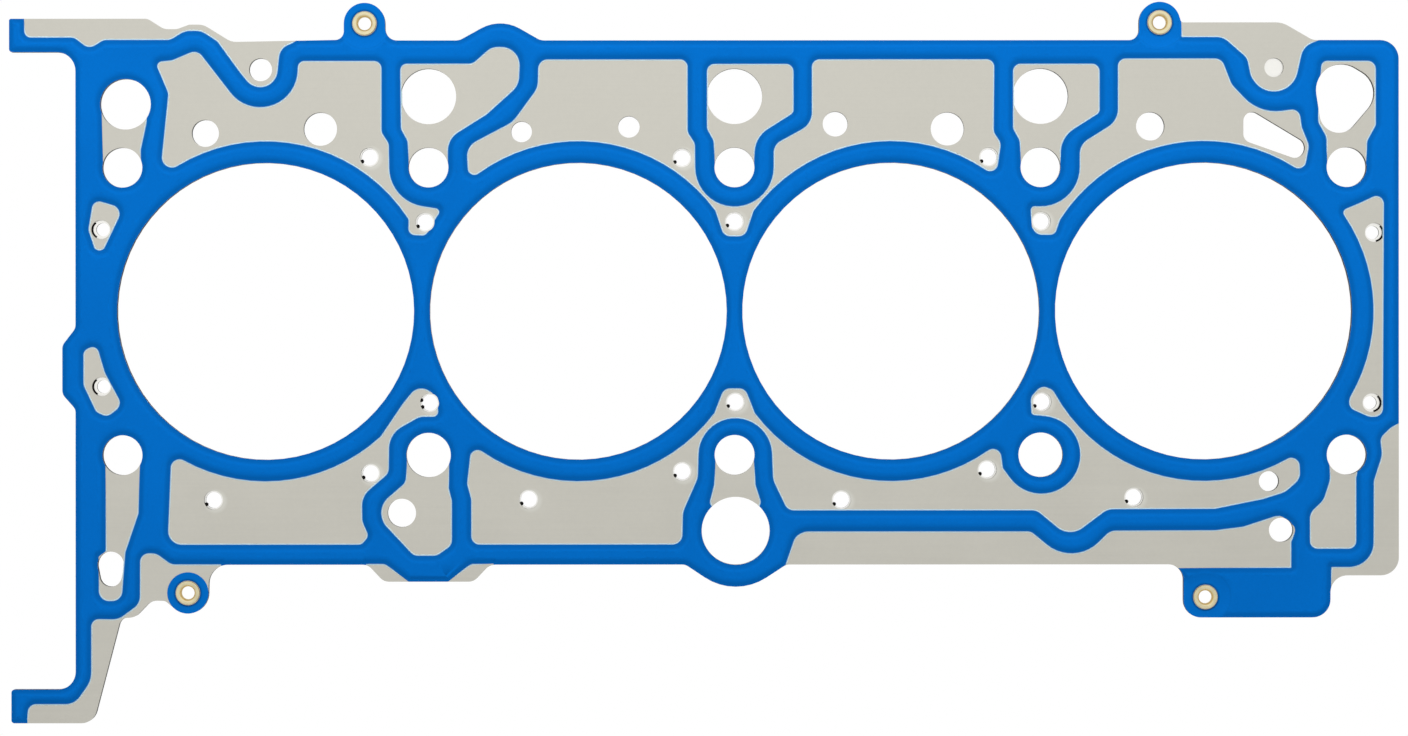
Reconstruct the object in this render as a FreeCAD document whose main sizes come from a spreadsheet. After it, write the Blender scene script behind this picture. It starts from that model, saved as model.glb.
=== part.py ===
import FreeCAD, Part
import math
import os
import Sketcher

# Multi-layer steel cylinder head gasket for four cylinders in a row.
# Two embossed spring-steel sheets, printed outside with sealing elastomer, hold between
# them a plain carrier sheet and a thin stopper ring at every bore. Four rolled eyelets
# clamp the stack at its ears.
# Frame: X runs along the row of bores, Z is up. The origin is in the middle web of the
# row, on the plane that the lower eyelet rims rest on.

SIZES = {
    "bore_diameter": (85.5, "opening at each cylinder"),
    "web_width": (4.5, "steel left between two neighbouring openings"),
    "bolt_pitch_cut": (1.9, "what the bolt spacing is shorter than the cylinder spacing"),
    "bolt_row_inset": (1.35, "bolt rows inside the lines that touch the bores"),
    "bolt_hole_diameter": (11.5, "head-bolt holes"),
    "dowel_hole_diameter": (12.8, "two head-bolt holes that also clear a ring dowel"),
    "oil_port_diameter": (16.0, "three oil drains over the inner bolts"),
    "coolant_hole_diameter": (5.5, "coolant holes in the two outer sheets"),
    "metering_diameter": (4.6, "the same holes in the carrier, which set the flow"),
    "end_metering_diameter": (3.8, "carrier holes at the two ends of the row"),
    "end_metering_shift": (0.5, "those four holes towards the middle of the row"),
    "outer_thickness": (0.25, "each embossed sheet"),
    "carrier_thickness": (0.5, "the middle sheet"),
    "stopper_thickness": (0.1, "ring that keeps the bore bead from being crushed"),
    "stopper_width": (0.8, "the ring from its bore outwards"),
    "coating_thickness": (0.05, "printed elastomer"),
    "coating_ring_width": (6.1, "printed ring round each bore"),
    "bead_height": (0.25, "embossed step"),
    "bead_foot_inset": (0.8, "from the edge of the print to the foot of the bead"),
    "bead_slope_width": (0.9, "each flank of the bead"),
    "eyelet_bore_diameter": (3.7, "through each eyelet"),
    "eyelet_wall": (0.3, "tube of the eyelet"),
    "eyelet_flange_diameter": (6.8, "rolled rim"),
    "eyelet_throat": (0.75, "rounding of the bore into each rim"),
    "eyelet_lip": (0.16, "rounding of each rim's edge"),
    "eyelet_fit": (0.05, "gap round the eyelet tube"),
    "eyelet_stand": (0.05, "rims beyond the bead crests, so that they carry the stack"),
    "print_clearance": (0.15, "gap between a rim and the print round it"),
    "ear_radius": (5.95, "disc of steel round each eyelet"),
}
SHEET = "sizes"
# Cylinder spacing at which the plan below is drawn, and the least rounding of a corner.
DRAWN_SPACING = 90.0
SMALLEST_ROUND = 0.25
# How near an edge lies to its expected radius and height to be picked for a fillet.
EDGE_MATCH = 0.001
# Part of a bead flank by which a cutter runs past the foot and the crest.
FLANK_SPARE = 0.2


def fill_spreadsheet(doc):
    """Write the driving sizes to the spreadsheet, one row each."""
    sheet = doc.addObject("Spreadsheet::Sheet", SHEET)
    for row, (alias, (value, meaning)) in enumerate(SIZES.items(), start=1):
        sheet.set("A%d" % row, alias)
        sheet.set("B%d" % row, str(value))
        sheet.set("C%d" % row, meaning)
        sheet.setAlias("B%d" % row, alias)
    doc.recompute()
    return sheet


class Column(float):
    """Place of a column of holes. Distances beside it stretch with the cylinder spacing."""

    def __new__(cls, place, stretch):
        column = super().__new__(cls, place)
        column.stretch = stretch
        return column

    def __add__(self, distance):
        return float(self) + distance * self.stretch

    def __sub__(self, distance):
        return float(self) - distance * self.stretch


class Plan:
    """Columns, rows and heights that every layer is drawn from."""

    def __init__(self, sheet):
        for alias in SIZES:
            setattr(self, alias, float(sheet.get(alias)))
        self.bore_radius = self.bore_diameter / 2
        bore_pitch = self.bore_diameter + self.web_width
        bolt_pitch = bore_pitch - self.bolt_pitch_cut
        self.stretch = bore_pitch / DRAWN_SPACING
        self.bore_x = {n: Column((n - 2.5) * bore_pitch, self.stretch) for n in range(1, 5)}
        self.bolt_x = {n: Column((n - 3) * bolt_pitch, self.stretch) for n in range(1, 6)}
        self.print_radius = self.bore_radius + self.coating_ring_width * self.stretch
        self.bolt_row = self.bore_radius - self.bolt_row_inset
        self.rim_height = self.coating_thickness + self.bead_height + self.eyelet_stand
        self.rim_clearance_radius = self.eyelet_flange_diameter / 2 + self.print_clearance
        self.eyelet_tube_clearance = self.eyelet_bore_diameter / 2 + self.eyelet_wall + self.eyelet_fit
        self.lower_flat = self.rim_height
        self.carrier_bottom = self.lower_flat + self.outer_thickness
        self.carrier_top = self.carrier_bottom + self.carrier_thickness
        self.upper_flat = self.carrier_top + self.stopper_thickness
        self.upper_face = self.upper_flat + self.outer_thickness
        self.total_height = self.upper_face + self.rim_height

    def up(self, distance):
        """Height on the plan of a point this far beyond the top of the bores."""
        return self.bore_radius + distance * self.stretch

    def down(self, distance):
        """Height on the plan of a point this far beyond the bottom of the bores."""
        return -self.up(distance)

    def bend(self, x, y, radius):
        """Pin of the print, whose radius stretches with the cylinder spacing."""
        return pin(x, y, radius * self.stretch)

    def ring(self, number):
        """Stretch of an outline that follows the printed ring of one bore."""
        return ("ring", self.bore_x[number], 0.0, self.print_radius)


def pin(x, y, radius):
    """Round corner given by its centre; a negative radius curves inwards."""
    return ("pin", x, y, radius)


# Plane geometry of outlines. An outline is a list of corners (x, y, rounding), pins and
# ring stretches. Its corners are joined by lines, which are tangent to the pins.

def unit(vector):
    return vector.normalize() if vector.Length else vector


def left_of(vector):
    return FreeCAD.Vector(-vector.y, vector.x, 0)


class Line:
    """Straight stretch: a point on it and the unit vector to its left."""

    def __init__(self, point, normal):
        self.point = point
        self.normal = normal

    def moved_left(self, distance):
        return Line(self.point + self.normal * distance, self.normal)

    def heading(self, _point):
        return FreeCAD.Vector(self.normal.y, -self.normal.x, 0)

    def foot(self, point):
        return point + self.normal * (self.point - point).dot(self.normal)


class Circle:
    """Round stretch about a bore: turn is 1 anticlockwise and -1 clockwise."""

    def __init__(self, centre, radius, turn):
        self.centre = centre
        self.radius = radius
        self.turn = turn

    def moved_left(self, distance):
        return Circle(self.centre, self.radius - self.turn * distance, self.turn)

    def heading(self, point):
        return left_of(unit(point - self.centre)) * self.turn

    def foot(self, point):
        return self.centre + unit(point - self.centre) * self.radius


def nearer(base, offset, target):
    """Of the two points at base plus and minus offset, the one nearer the target."""
    return min((base + offset, base - offset), key=lambda p: (p - target).Length)


def meeting(first, second, target):
    """Where two stretches meet, nearest to the target."""
    if isinstance(first, Line) and isinstance(second, Line):
        span = first.normal.x * second.normal.y - first.normal.y * second.normal.x
        a = first.point.dot(first.normal)
        b = second.point.dot(second.normal)
        x = (a * second.normal.y - b * first.normal.y) / span
        y = (first.normal.x * b - second.normal.x * a) / span
        return FreeCAD.Vector(x, y, 0)
    if isinstance(second, Line):
        first, second = second, first
    if isinstance(first, Line):
        base = first.foot(second.centre)
        reach = second.radius ** 2 - (base - second.centre).Length ** 2
        along = first.heading(base) * math.sqrt(max(reach, 0.0))
        return nearer(base, along, target)
    between = second.centre - first.centre
    share = (between.Length ** 2 + first.radius ** 2 - second.radius ** 2) / (2 * between.Length)
    side = math.sqrt(max(first.radius ** 2 - share ** 2, 0.0))
    axis = unit(FreeCAD.Vector(between))
    return nearer(first.centre + axis * share, left_of(axis) * side, target)


def read_corners(outline):
    """Split an outline into its corners and the rings that follow some of them."""
    corners = []
    rings = {}
    for item in outline:
        if item[0] == "ring":
            rings[len(corners) - 1] = item[1:]
        elif item[0] == "pin":
            corners.append([FreeCAD.Vector(item[1], item[2], 0), item[3], True])
        else:
            corners.append([FreeCAD.Vector(item[0], item[1], 0), item[2], False])
    for index, (x, y, radius) in rings.items():
        centre = FreeCAD.Vector(x, y, 0)
        for corner in (corners[index], corners[(index + 1) % len(corners)]):
            corner[0] = centre + unit(corner[0] - centre) * radius
    return corners, rings


def signed_area(points):
    following = points[1:] + points[:1]
    return sum(p.x * q.y - q.x * p.y for p, q in zip(points, following)) / 2


def stretch(start, end, ring):
    """Line or ring arc from one corner to the next."""
    if ring:
        centre = FreeCAD.Vector(ring[0], ring[1], 0)
        swing = (start[0] - centre).cross(end[0] - centre).z
        return Circle(centre, ring[2], 1 if swing > 0 else -1)
    start_radius = start[1] if start[2] else 0.0
    end_radius = end[1] if end[2] else 0.0
    chord = end[0] - start[0]
    lean = (end_radius - start_radius) / chord.Length
    along = unit(FreeCAD.Vector(chord))
    normal = along * lean + left_of(along) * math.sqrt(1 - lean ** 2)
    return Line(start[0] - normal * start_radius, normal)


def rounded_corner(corner, before, after, grow):
    """Centre, radius and turn of one corner's arc on the outline grown by a distance."""
    place, rounding, is_pin = corner
    if is_pin:
        turn = 1 if rounding > 0 else -1
        return place, abs(rounding) + turn * grow, turn
    turn = 1 if before.heading(place).cross(after.heading(place)).z > 0 else -1
    radius = max(rounding + turn * grow, SMALLEST_ROUND)
    reach = turn * radius - grow
    centre = meeting(before.moved_left(reach), after.moved_left(reach), place)
    return centre, radius, turn


def arc_edge(centre, radius, start, end, turn):
    """Edge of an arc that leaves start anticlockwise for turn 1, clockwise for -1."""
    first = math.atan2(start.y - centre.y, start.x - centre.x)
    last = math.atan2(end.y - centre.y, end.x - centre.x)
    sweep = ((last - first) * turn) % (2 * math.pi)
    middle = first + turn * sweep / 2
    through = centre + FreeCAD.Vector(math.cos(middle), math.sin(middle), 0) * radius
    return Part.Arc(start, through, end).toShape()


def outline_wire(outline, z=0.0, grow=0.0):
    """Closed wire of an outline at a height, grown outwards by a distance."""
    corners, rings = read_corners(outline)
    count = len(corners)
    if signed_area([corner[0] for corner in corners]) < 0:
        corners.reverse()
        rings = {(count - 2 - index) % count: ring for index, ring in rings.items()}
    sides = [stretch(corners[i], corners[(i + 1) % count], rings.get(i)) for i in range(count)]
    grown = [side.moved_left(-grow) for side in sides]
    arcs = [rounded_corner(corners[i], sides[i - 1], sides[i], grow) for i in range(count)]
    edges = []
    for i, (centre, radius, turn) in enumerate(arcs):
        following = arcs[(i + 1) % count][0]
        arc_start = grown[i - 1].foot(centre)
        arc_end = grown[i].foot(centre)
        side_end = grown[i].foot(following)
        edges.append(arc_edge(centre, radius, arc_start, arc_end, turn))
        if rings.get(i):
            side = grown[i]
            edges.append(arc_edge(side.centre, side.radius, arc_end, side_end, side.turn))
        else:
            edges.append(Part.LineSegment(arc_end, side_end).toShape())
    wire = Part.Wire(edges)
    wire.translate(FreeCAD.Vector(0, 0, z))
    return wire


def circle_wire(x, y, radius, z=0.0):
    centre = FreeCAD.Vector(x, y, z)
    return Part.Wire(Part.makeCircle(radius, centre))


# Outer edge of the steel sheets.

def steel_outline(plan):
    """Edge of the sheets, clockwise from the upper left tongue."""
    b, c, up, down = plan.bolt_x, plan.bore_x, plan.up, plan.down
    top = up(35.2)
    bottom = down(30.2)
    left = b[1] - 13.5
    right = b[5] + 15.0
    first_ear = eyelet_place(plan, 1)[0]
    second_ear = eyelet_place(plan, 2)[0]
    upper_tongue = [
        (b[1] - 32.6, up(41.5), 0.6), (b[1] + 7.3, up(41.5), 3.0), (b[1] + 12.0, up(38.5), 4.0),
        (b[1] + 15.8, up(38.5), 4.0), (b[1] + 19.2, up(39.8), 3.0), (c[1] - 17.9, up(39.8), 5.0),
        (c[1] - 9.8, up(34.8), 5.0),
    ]
    top_side = [
        (first_ear - plan.ear_radius, up(35.4), 2.5), pin(*eyelet_place(plan, 1), plan.ear_radius),
        (b[2] - 12.4, top, 3.5), (b[2] + 8.9, top, 4.0), (b[2] + 20.8, up(41.8), 11.4),
        (c[2] - 10.8, top, 4.0), (c[4] - 18.5, top, 3.0),
        pin(*eyelet_place(plan, 2), plan.ear_radius),
        (second_ear + plan.ear_radius + 0.25, up(40.3), 1.0), (b[5] - 18.5, up(40.3), 7.0),
        (b[5] - 9.7, top, 4.0), (right, top, 5.4),
    ]
    lower_right_tongue = [
        (right, down(33.4), 5.2), (b[5] - 4.7, down(33.4), 4.9), (b[5] - 4.7, down(45.5), 5.2),
        (c[4] - 5.8, down(45.5), 5.0), (c[4] - 5.8, bottom, 4.4),
    ]
    bottom_side = [
        (14.9, bottom, 3.0), pin(0.3, down(20.5), 16.1), (-14.2, bottom, 3.0),
        (b[2] + 17.6, bottom, 4.0), (b[2] + 13.0, down(35.1), 3.5), (b[2] - 12.9, down(35.1), 3.5),
        (b[2] - 17.5, bottom, 3.5), (c[1] - 16.3, bottom, 5.5),
    ]
    lower_left_tongue = [
        pin(*eyelet_place(plan, 3), plan.ear_radius), (b[1] + 12.3, down(40.6), 2.0),
        (b[1] + 8.3, down(40.5), 4.0), (b[1] + 3.7, down(45.3), 4.0), (b[1] - 0.5, down(45.6), 2.5),
        (b[1] - 8.4, down(75.8), 4.5), (b[1] - 32.0, down(75.8), 0.9), (b[1] - 32.0, down(66.1), 0.9),
        (left, down(66.1), 5.1),
    ]
    left_side = [
        (left, down(-14.6), 2.5), (b[1] - 17.3, down(-18.9), 3.0), (b[1] - 17.3, down(-33.0), 3.0),
        (left, down(-37.9), 3.0), (left, up(31.9), 5.4), (b[1] - 32.6, up(31.9), 0.9),
    ]
    return upper_tongue + top_side + lower_right_tongue + bottom_side + lower_left_tongue + left_side


# Holes of the sheets.

def eyelet_place(plan, number):
    """Middle of one eyelet, counted clockwise from the upper left."""
    b, c = plan.bolt_x, plan.bore_x
    places = {
        1: (b[2] - 18.4, plan.up(40.1)),
        2: (c[4] - 12.6, plan.up(40.3)),
        3: (b[1] + 18.8, plan.down(38.3)),
        4: (c[4] + 0.5, plan.down(39.6)),
    }
    return places[number]


def bolt_holes(plan):
    """Ten head-bolt holes; the second and fourth of the lower row clear ring dowels."""
    bolt = plan.bolt_hole_diameter / 2
    dowel = plan.dowel_hole_diameter / 2
    upper = [(x, plan.bolt_row, bolt) for x in plan.bolt_x.values()]
    lower = [(x, -plan.bolt_row, dowel if n in (2, 4) else bolt) for n, x in plan.bolt_x.items()]
    return upper + lower


def port_holes(plan):
    """Round oil and breather ports, the same in every sheet."""
    b, c, up, down = plan.bolt_x, plan.bore_x, plan.up, plan.down
    drain = plan.oil_port_diameter / 2
    drains = [(b[n], up(19.1), drain) for n in (2, 3, 4)]
    return drains + [
        (b[1] + 0.9, up(16.9), 7.3), (0.3, down(20.5), 9.8), (c[1] - 1.4, up(26.8), 3.3),
        (c[1] - 17.3, up(8.5), 3.9), (c[1] + 15.8, up(9.7), 4.8), (c[2] - 16.3, up(8.9), 3.0),
        (c[2] + 14.6, up(10.3), 3.1), (c[3] - 16.0, up(11.1), 3.6), (c[3] + 16.3, up(9.7), 4.8),
        (c[4] - 15.3, up(10.4), 4.1), (b[2] - 7.7, down(15.3), 4.1), (c[4] + 18.8, down(6.3), 2.9),
        (b[5] - 18.9, down(20.3), 3.5),
    ]


def shaped_ports(plan):
    """Outlines of the ports that are not round: oval, teardrop and slot."""
    b, c, up, down = plan.bolt_x, plan.bore_x, plan.up, plan.down
    oval = [pin(b[5] - 1.3, up(20.8), 7.5), pin(b[5] + 1.0, up(20.0), 7.0),
            pin(b[5] - 2.2, up(14.1), 5.6)]
    teardrop = [pin(c[4] + 14.1, up(11.9), 2.6), pin(b[5] - 14.9, up(4.2), 2.9),
                pin(c[4] + 14.1, up(8.2), 2.6)]
    slot = [pin(b[1] - 3.4, down(30.2), 3.8), pin(b[1] - 3.4, down(33.3), 3.2)]
    return [oval, teardrop, slot]


def coolant_places(plan):
    """Middles of the coolant holes between and beside the bores."""
    b, c, up, down = plan.bolt_x, plan.bore_x, plan.up, plan.down
    upper_side = [(b[2] - 17.0, up(1.6)), (b[3] - 15.1, up(1.4)), (b[4] - 14.9, up(1.6))]
    upper_web = [(b[2] - 1.0, up(-17.1)), (b[3], up(-16.9)), (b[4] + 0.2, up(-16.9))]
    lower_web = [(b[2] + 0.3, down(-16.4)), (b[3] + 0.2, down(-16.6)), (b[4] + 0.4, down(-16.6))]
    lower_side = [(b[2] - 16.7, down(3.9)), (b[3] - 15.1, down(3.4)), (b[4] - 15.4, down(2.9))]
    under_bores = [(c[1] - 15.0, down(11.6)), (c[2] - 14.3, down(11.4)), (c[3] - 14.3, down(11.6)),
                   (c[4] - 20.1, down(10.9))]
    return upper_side + upper_web + lower_web + lower_side + under_bores


def end_coolant_places(plan):
    """Middles of the four coolant holes at the ends of the row."""
    b, up, down = plan.bolt_x, plan.up, plan.down
    return [(b[1] - 6.2, up(-19.2)), (b[1] - 6.0, down(-21.1)), (b[5] + 8.0, up(-20.2)),
            (b[5] + 7.3, down(-16.3))]


def blind_port(plan):
    """Port that only the top sheet opens, so the carrier shows in it."""
    return (plan.bore_x[4] + 20.3, plan.up(27.3), plan.coolant_hole_diameter / 2)


def outer_circles(plan):
    """Round holes of the two outer sheets, the bores and the eyelets among them."""
    coolant = plan.coolant_hole_diameter / 2
    tube = plan.eyelet_tube_clearance
    circles = [(x, 0.0, plan.bore_radius) for x in plan.bore_x.values()]
    circles += bolt_holes(plan) + port_holes(plan)
    circles += [(x, y, coolant) for x, y in coolant_places(plan) + end_coolant_places(plan)]
    circles += [(*eyelet_place(plan, n), tube) for n in range(1, 5)]
    return circles


# Bare windows in the print. Bolts and bores are counted from the left.

def left_jog(plan, n, side):
    """Jog of the strip left of bolt n: its outer side for -1 and its inner side for 1."""
    b, up = plan.bolt_x, plan.up
    if side < 0:
        return [(b[n] - 13.4, up(8.8), 3.0), (b[n] - 11.3, up(5.6), 3.0)]
    return [(b[n] - 6.1, up(6.3), 3.0), (b[n] - 8.0, up(9.7), 3.0)]


def first_cylinder_window(plan):
    """Over the first bore and down into the corner between the first two."""
    b, c, up = plan.bolt_x, plan.bore_x, plan.up
    return [
        (b[1] + 9.3, up(29.1), 1.5), (b[1] + 14.3, up(29.6), 4.0), (c[1] - 19.6, up(32.7), 3.0),
        plan.bend(c[1] - 1.5, up(26.8), -10.7), (c[1] + 9.3, up(29.4), 2.0), (b[2] - 13.4, up(29.4), 2.3),
        *left_jog(plan, 2, -1), plan.bend(b[2], plan.bolt_row, -11.2), (b[2] + 3.4, up(-12.8), 1.2),
        plan.ring(2), (b[2] + 0.1, up(-21.5), 2.0), (b[2] - 5.9, up(-20.8), 2.0),
        (b[2] - 7.2, up(-17.3), 1.5), plan.ring(1), (b[1] + 10.6, up(-4.6), 3.0),
        (b[1] + 13.2, up(20.0), 4.0),
    ]


def first_bolt_window(plan):
    """Between the first drain and the first bolt."""
    b, up = plan.bolt_x, plan.up
    return [
        (b[1] - 6.0, up(17.0), 0.5), (b[1] + 7.0, up(17.0), 0.5), (b[1] + 7.0, up(11.2), 2.0),
        (b[1] + 5.4, up(3.8), 2.0), (b[1] + 5.4, plan.bolt_row, 0.5), (b[1] - 5.5, plan.bolt_row, 0.5),
    ]


def second_bolt_window(plan):
    """Round the second drain, with a lobe up to the right."""
    b, c, up = plan.bolt_x, plan.bore_x, plan.up
    return [
        (b[2] - 8.2, up(28.6), 2.0), (b[2] + 12.7, up(28.6), 3.0), (b[2] + 18.2, up(33.4), 4.5),
        (c[2] - 16.5, up(33.4), 5.3), (c[2] - 17.0, up(22.2), 6.0), (b[2] + 16.8, up(13.8), 7.0),
        (b[2] + 5.8, up(6.9), 6.0), (b[2] + 5.6, plan.bolt_row, 0.5),
        (b[2] - 5.6, plan.bolt_row, 0.5), *left_jog(plan, 2, 1),
    ]


def middle_cylinders_window(plan):
    """Over the second and third bores, joined below the middle bolt."""
    b, c, up = plan.bolt_x, plan.bore_x, plan.up
    return [
        (c[2] - 11.5, up(29.8), 2.8), (b[3] - 13.4, up(29.8), 2.3), *left_jog(plan, 3, -1),
        plan.bend(b[3], plan.bolt_row, -11.2), (b[3] + 11.2, up(5.2), 4.0),
        (b[3] + 22.2, up(11.2), 5.5), (b[3] + 22.2, up(29.8), 2.3), (b[4] - 13.2, up(29.8), 2.3),
        *left_jog(plan, 4, -1), (b[4] - 11.0, up(-2.3), 2.4), plan.ring(3),
        (b[3] + 4.8, up(-13.3), 0.8), (b[3] + 3.1, up(-21.3), 2.7), (b[3] - 3.1, up(-21.3), 2.7),
        (b[3] - 4.8, up(-13.3), 0.8), plan.ring(2), (b[2] + 10.9, up(-4.9), 2.0),
        (b[2] + 10.9, up(4.8), 5.0), (c[2] - 18.9, up(11.8), 8.0), (c[2] - 11.7, up(21.6), 6.0),
    ]


def inner_bolt_window(plan, n):
    """Round the drain over the third or fourth bolt."""
    b, up = plan.bolt_x, plan.up
    return [
        (b[n] - 8.0, up(28.5), 2.3), (b[n] + 17.1, up(28.5), 2.3), (b[n] + 17.1, up(14.3), 1.8),
        (b[n] + 6.2, up(7.4), 8.0), (b[n] + 5.6, plan.bolt_row, 0.5),
        (b[n] - 5.6, plan.bolt_row, 0.5), *left_jog(plan, n, 1),
    ]


def fourth_cylinder_window(plan):
    """Over the fourth bore, round the teardrop, and down between the last two bores."""
    b, c, up = plan.bolt_x, plan.bore_x, plan.up
    return [
        (b[4] + 22.2, up(30.0), 2.3), (c[4] + 5.3, up(30.0), 3.0), (c[4] + 8.2, up(22.5), 5.0),
        plan.bend(b[5] - 20.3, up(27.4), -12.6), (b[5] - 13.6, up(15.6), 2.5), (b[5] - 12.8, up(10.1), 4.0),
        (b[5] - 10.7, up(4.9), 4.0), (b[5] - 10.8, up(-1.4), 2.3), plan.ring(4),
        (b[4] + 6.3, up(-17.0), 1.5), (b[4] + 4.2, up(-20.9), 2.0), (b[4] - 2.3, up(-20.9), 3.0),
        (b[4] - 3.0, up(-12.5), 1.2), plan.bend(b[4], plan.bolt_row, -11.2), (b[4] + 11.2, up(5.2), 5.0),
        (b[4] + 22.2, up(12.1), 6.0),
    ]


def last_bolt_window(plan):
    """Round the oval port and down to the last bolt."""
    b, up = plan.bolt_x, plan.up
    return [
        (b[5] - 7.3, up(29.3), 1.9), (b[5] + 8.5, up(29.3), 2.5), (b[5] + 8.5, up(10.7), 2.3),
        (b[5] + 6.0, up(6.1), 3.0), (b[5] + 5.5, plan.bolt_row, 0.5), (b[5] - 5.5, plan.bolt_row, 0.5),
        (b[5] - 5.9, up(7.3), 4.0), (b[5] - 8.3, up(11.6), 3.0),
    ]


def left_end_windows(plan):
    """Two small windows round the coolant holes at the left end."""
    b, up, down = plan.bolt_x, plan.up, plan.down
    upper = [
        (b[1] - 8.4, up(-10.4), 2.2), (b[1] + 0.4, up(-13.0), 2.8), (b[1] - 5.6, up(-25.6), 1.7),
        (b[1] - 8.0, up(-24.9), 1.3), plan.bend(b[1] - 6.5, up(-19.0), 3.3),
    ]
    lower = [
        (b[1] - 11.3, down(-31.5), 2.1), (b[1] - 7.4, down(-33.4), 2.0),
        (b[1] - 5.0, down(-25.2), 8.0), (b[1] + 0.1, down(-15.7), 2.8),
        (b[1] - 4.4, down(-12.3), 2.5), (b[1] - 7.6, down(-13.7), 2.5), (b[1] - 11.3, down(-21.5), 4.0),
    ]
    return [upper, lower]


def right_end_window(plan):
    """Long window beside the fourth bore."""
    b, up, down = plan.bolt_x, plan.up, plan.down
    return [
        (b[5] + 3.6, up(-11.7), 5.0), (b[5] + 9.6, up(-8.9), 2.2),
        (b[5] + 10.8, up(-11.5), 1.5), (b[5] + 10.5, down(-12.3), 2.5),
        (b[5] + 6.5, down(-12.1), 4.0), (b[5] + 0.3, down(-14.9), 2.5),
        (b[5] + 0.8, down(-17.9), 1.5), plan.ring(4), (b[5] - 1.3, up(-13.6), 1.4),
    ]


def slot_window(plan):
    """From the first lower bolt down past the slot."""
    b, down = plan.bolt_x, plan.down
    return [
        (b[1] - 4.9, -plan.bolt_row, 0.5), (b[1] + 5.1, -plan.bolt_row, 0.5),
        (b[1] + 4.7, down(15.4), 3.0), (b[1] + 0.9, down(26.6), 2.0), (b[1] - 0.2, down(40.7), 3.0),
        (b[1] - 6.9, down(40.7), 3.0), (b[1] - 6.9, down(27.8), 1.0), (b[1] - 4.9, down(26.4), 1.0),
    ]


def lower_first_window(plan):
    """Under the first bore and up into the corner between the first two."""
    b, down = plan.bolt_x, plan.down
    return [
        (b[1] + 13.2, down(-1.0), 2.6), plan.ring(1), (b[2] - 13.5, down(-6.5), 1.2),
        (b[2] - 7.4, down(-16.3), 3.0), plan.bend(b[2] - 2.0, down(-16.6), 4.0),
        (b[2] + 3.4, down(-12.3), 1.6), (b[2] - 2.5, down(-12.3), 4.0), (b[2] - 11.2, down(-7.4), 7.0),
        (b[2] - 11.4, down(3.9), 3.0), (b[2] - 19.1, down(10.5), 6.0), (b[2] - 19.0, down(17.7), 5.0),
        (b[2] - 17.1, down(22.0), 2.0), (b[2] - 19.3, down(24.5), 2.0), (b[1] + 12.9, down(24.5), 4.0),
    ]


def lower_dowel_window(plan):
    """From the second lower bolt down round its oil hole."""
    b, down = plan.bolt_x, plan.down
    return [
        (b[2] - 6.1, -plan.bolt_row, 0.5), (b[2] - 6.7, down(6.5), 3.0),
        plan.bend(b[2] - 7.7, down(15.3), 6.0), (b[2] - 4.3, down(27.7), 3.0), (b[2] + 2.4, down(27.7), 3.5),
        (b[2] + 6.8, down(24.6), 3.0), (b[2] + 6.8, down(11.7), 3.0), (b[2] + 5.9, down(8.2), 2.0),
        (b[2] + 5.9, -plan.bolt_row, 0.5),
    ]


def lower_long_window(plan):
    """Under the last three bores, round the middle bolt's strip and the fourth bolt."""
    b, c, down = plan.bolt_x, plan.bore_x, plan.down
    left_corner = [
        (b[2] + 10.9, down(-3.1), 2.3), plan.ring(2), (b[3] - 4.8, down(-12.6), 1.0),
        (b[3] - 3.1, down(-20.6), 2.7), (b[3] + 3.1, down(-20.6), 2.7), (b[3] + 4.8, down(-12.6), 1.0),
    ]
    fourth_bolt = [
        plan.ring(3), (b[4] - 10.7, down(-3.9), 2.5), (b[4] - 10.8, down(2.4), 1.0),
        plan.bend(b[4] + 0.2, -plan.bolt_row, -11.1), (b[4] - 2.7, down(-12.8), 1.0),
        (b[4] - 3.0, down(-18.0), 3.0), (b[4] + 0.3, down(-21.5), 2.7), (b[4] + 4.6, down(-20.6), 2.7),
    ]
    right_tail = [
        plan.ring(4), (b[5] - 12.9, down(-1.3), 2.5), (b[5] - 13.3, down(5.6), 4.0),
        (b[5] - 17.7, down(9.5), 6.0), (c[4] + 17.1, down(11.5), 4.0), (c[4] + 3.3, down(14.3), 8.0),
        (b[4] + 19.3, down(14.4), 5.0), (b[4] + 8.3, down(22.6), 6.0), (b[4] - 1.2, down(14.7), 4.0),
    ]
    middle_strip = [
        (b[3] + 15.2, down(14.7), 3.0), (b[3] + 11.0, down(5.9), 6.0),
        plan.bend(b[3] + 0.2, -plan.bolt_row, -10.5), (b[3] - 10.5, down(5.3), 6.0),
        (b[3] - 14.8, down(15.1), 6.0), (b[3] - 15.0, down(24.5), 3.0), (b[2] + 12.2, down(24.5), 2.5),
        (b[2] + 12.2, down(11.4), 3.0), (b[2] + 11.0, down(7.0), 3.0),
    ]
    return left_corner + fourth_bolt + right_tail + middle_strip


def lower_middle_window(plan):
    """Between the middle lower bolt and the large drain under it."""
    b, down = plan.bolt_x, plan.down
    return [
        (b[3] - 5.4, -plan.bolt_row, 0.5), (b[3] + 5.4, -plan.bolt_row, 0.5),
        (b[3] + 6.1, down(7.3), 3.0), (b[3] + 8.0, down(13.1), 2.0), (b[3] + 0.2, down(17.4), 0.5),
        (b[3] - 7.5, down(13.1), 2.0), (b[3] - 6.0, down(7.3), 3.0),
    ]


def lower_last_window(plan):
    """Under the last lower bolt."""
    b, down = plan.bolt_x, plan.down
    return [
        (b[5] - 5.1, -plan.bolt_row, 0.5), (b[5] - 4.9, down(5.9), 6.0), (b[5] - 6.8, down(11.7), 5.0),
        (b[5] - 10.7, down(15.4), 4.0), (b[5] - 10.7, down(25.8), 2.3), (b[5] + 2.8, down(25.8), 2.3),
        (b[5] + 2.8, down(5.3), 3.0), (b[5] + 3.6, -plan.bolt_row, 0.5),
    ]


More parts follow.
